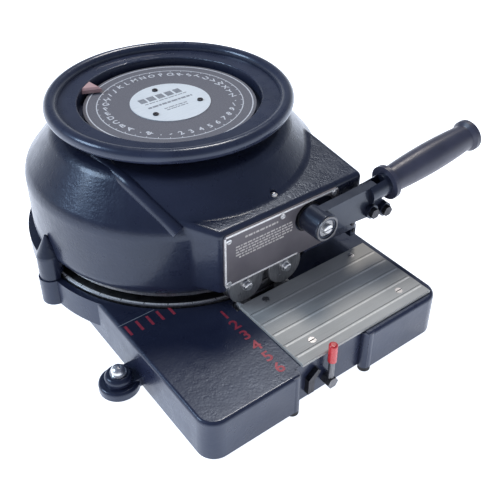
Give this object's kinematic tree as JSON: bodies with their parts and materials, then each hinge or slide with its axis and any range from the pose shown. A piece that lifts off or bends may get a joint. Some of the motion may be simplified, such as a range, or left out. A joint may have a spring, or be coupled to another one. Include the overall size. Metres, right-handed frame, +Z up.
{
  "type": "hand operated stencil cutting machine",
  "caption": "Hand stencil cutter: dial handwheel on a cast drum housing, hand lever, feed rollers and a scored metal table on a deep cast base.",
  "frame": {"origin": "centre of the footprint on the bench, under the machine", "axes": "+Z up, -Y towards the operator, +X towards the hand lever; the handwheel's spindle is parallel to Z"},
  "size_m": [0.5037, 0.4853, 0.2359],
  "materials": {
    "cast_enamel": "gloss enamel over cast texture",
    "wheel_enamel": "smooth gloss enamel",
    "dial_grey": "matte dark grey with white characters",
    "badge_silver": "pale satin plate",
    "nameplate_black": "etched dark plate with polished border",
    "table_aluminium": "satin, scored by use",
    "pointer_red": "dusty red",
    "tip_red": "dipped red vinyl",
    "grip": "satin moulded",
    "rubber": "moulded",
    "bright_steel": "plated screws and nuts",
    "dark_screw": "blackened steel",
    "machined_steel": "turned and ground",
    "bronze": "oiled bearing bronze"
  },
  "bodies": {
    "root": {"base_casting": "cast_enamel", "rubber_feet": "rubber", "ear_nuts": "bright_steel", "table_plate": "table_aluminium", "table_screws": "bright_steel", "housing": "cast_enamel", "housing_bolts": "dark_screw", "neck_bush": "bronze", "oil_fitting": "bronze", "nameplate": "nameplate_black", "nameplate_screws": "bright_steel", "leg_screws": "dark_screw", "centre_post": "machined_steel", "post_nut": "dark_screw", "dial_plate": "dial_grey", "dial_badge": "badge_silver", "badge_screws": "dark_screw", "thrust_washer": "bronze", "press_frame": "machined_steel", "lever_bush": "dark_screw", "lever_spring": "machined_steel", "bolt_guide": "machined_steel", "roller_bracket": "machined_steel", "shaft_hanger": "machined_steel", "release_stop": "dark_screw"},
    "wheel": {"handwheel": "wheel_enamel", "pointer": "pointer_red", "carrier_tube": "machined_steel", "hub_screws": "dark_screw", "punch_carrier": "machined_steel", "index_ring": "machined_steel", "letter_punches": "machined_steel", "die_carrier": "machined_steel", "die_ring": "machined_steel"},
    "station_punch": {"station_punch": "machined_steel"},
    "lever": {"lever_shaft": "machined_steel", "lever_crank": "machined_steel", "lever_hub": "wheel_enamel", "hub_washer": "bright_steel", "hub_screw": "bright_steel", "lever_arm": "wheel_enamel", "handle_clamp": "wheel_enamel", "clamp_bolts": "dark_screw", "handle_grip": "grip"},
    "rocker": {"rocker": "machined_steel"},
    "ram": {"ram": "machined_steel"},
    "lock_bolt": {"lock_bolt": "machined_steel"},
    "feed_roller_left": {"feed_roller_left": "machined_steel", "roller_screw_left": "bright_steel", "feed_gear_left": "machined_steel"},
    "feed_roller_right": {"feed_roller_right": "machined_steel", "roller_screw_right": "bright_steel", "feed_gear_right": "machined_steel"},
    "idler": {"idler_gear": "machined_steel"},
    "cradle": {"cradle": "machined_steel"},
    "lower_roll_left": {"lower_roll_left": "machined_steel"},
    "lower_roll_right": {"lower_roll_right": "machined_steel"},
    "release": {"release_shaft": "machined_steel", "release_lever": "machined_steel", "release_tip": "tip_red"}
  },
  "joints": [
    {"name": "wheel_turn", "type": "hinge", "parent": "root", "child": "wheel", "pos_m": [-0.05187, 0.0607, 0.219], "axis": [0, 0, 1], "continuous": true},
    {"name": "punch_stroke", "type": "slide", "parent": "wheel", "child": "station_punch", "axis": [0, 0, -1], "range_m": [0, 0.0065], "stiffness_N_per_m": 1500, "springref_m": -0.002},
    {"name": "lever_pull", "type": "hinge", "parent": "root", "child": "lever", "pos_m": [0.00543, -0.1383, 0.1391], "axis": [0, 1, 0], "range_deg": [0, 28], "stiffness_Nm_per_rad": 3, "springref_deg": -28.65},
    {"name": "rocker_tilt", "type": "hinge", "parent": "root", "child": "rocker", "pos_m": [-0.02787, -0.0893, 0.1391], "axis": [0, -1, 0], "range_deg": [0, 17.8]},
    {"name": "ram_stroke", "type": "slide", "parent": "root", "child": "ram", "axis": [0, 0, -1], "range_m": [0, 0.00735]},
    {"name": "bolt_stroke", "type": "slide", "parent": "root", "child": "lock_bolt", "axis": [-0.454, 0.891, 0], "range_m": [0, 0.0046]},
    {"name": "feed_left_turn", "type": "hinge", "parent": "root", "child": "feed_roller_left", "pos_m": [-0.07887, -0.1183, 0.0827], "axis": [0, 1, 0], "continuous": true},
    {"name": "feed_right_turn", "type": "hinge", "parent": "root", "child": "feed_roller_right", "pos_m": [-0.02487, -0.1183, 0.0827], "axis": [0, 1, 0], "continuous": true},
    {"name": "idler_turn", "type": "hinge", "parent": "root", "child": "idler", "pos_m": [-0.05187, -0.1093, 0.0827], "axis": [0, 1, 0], "continuous": true},
    {"name": "release_turn", "type": "hinge", "parent": "root", "child": "release", "pos_m": [-0.05586, -0.2378, 0.019], "axis": [0, 1, 0], "range_deg": [0, 35.2]},
    {"name": "cradle_drop", "type": "slide", "parent": "root", "child": "cradle", "axis": [0, 0, -1], "range_m": [0, 0.0029]},
    {"name": "lower_left_turn", "type": "hinge", "parent": "cradle", "child": "lower_roll_left", "pos_m": [-0.07887, -0.1183, 0.0484], "axis": [0, 1, 0], "continuous": true},
    {"name": "lower_right_turn", "type": "hinge", "parent": "cradle", "child": "lower_roll_right", "pos_m": [-0.02487, -0.1183, 0.0484], "axis": [0, 1, 0], "continuous": true}
  ],
  "couplings": [
    {"joint": "rocker_tilt", "follows": "lever_pull", "ratio": 0.63214},
    {"joint": "ram_stroke", "follows": "lever_pull", "m_per_rad": 0.014938},
    {"joint": "bolt_stroke", "follows": "lever_pull", "m_per_rad": 0.0092083},
    {"joint": "feed_right_turn", "follows": "feed_left_turn", "ratio": 1},
    {"joint": "idler_turn", "follows": "feed_left_turn", "ratio": -1.7},
    {"joint": "lower_left_turn", "follows": "feed_left_turn", "ratio": -2.0909},
    {"joint": "lower_right_turn", "follows": "feed_left_turn", "ratio": -2.0909},
    {"joint": "release_turn", "follows": "cradle_drop", "rad_per_m": 210.64}
  ]
}
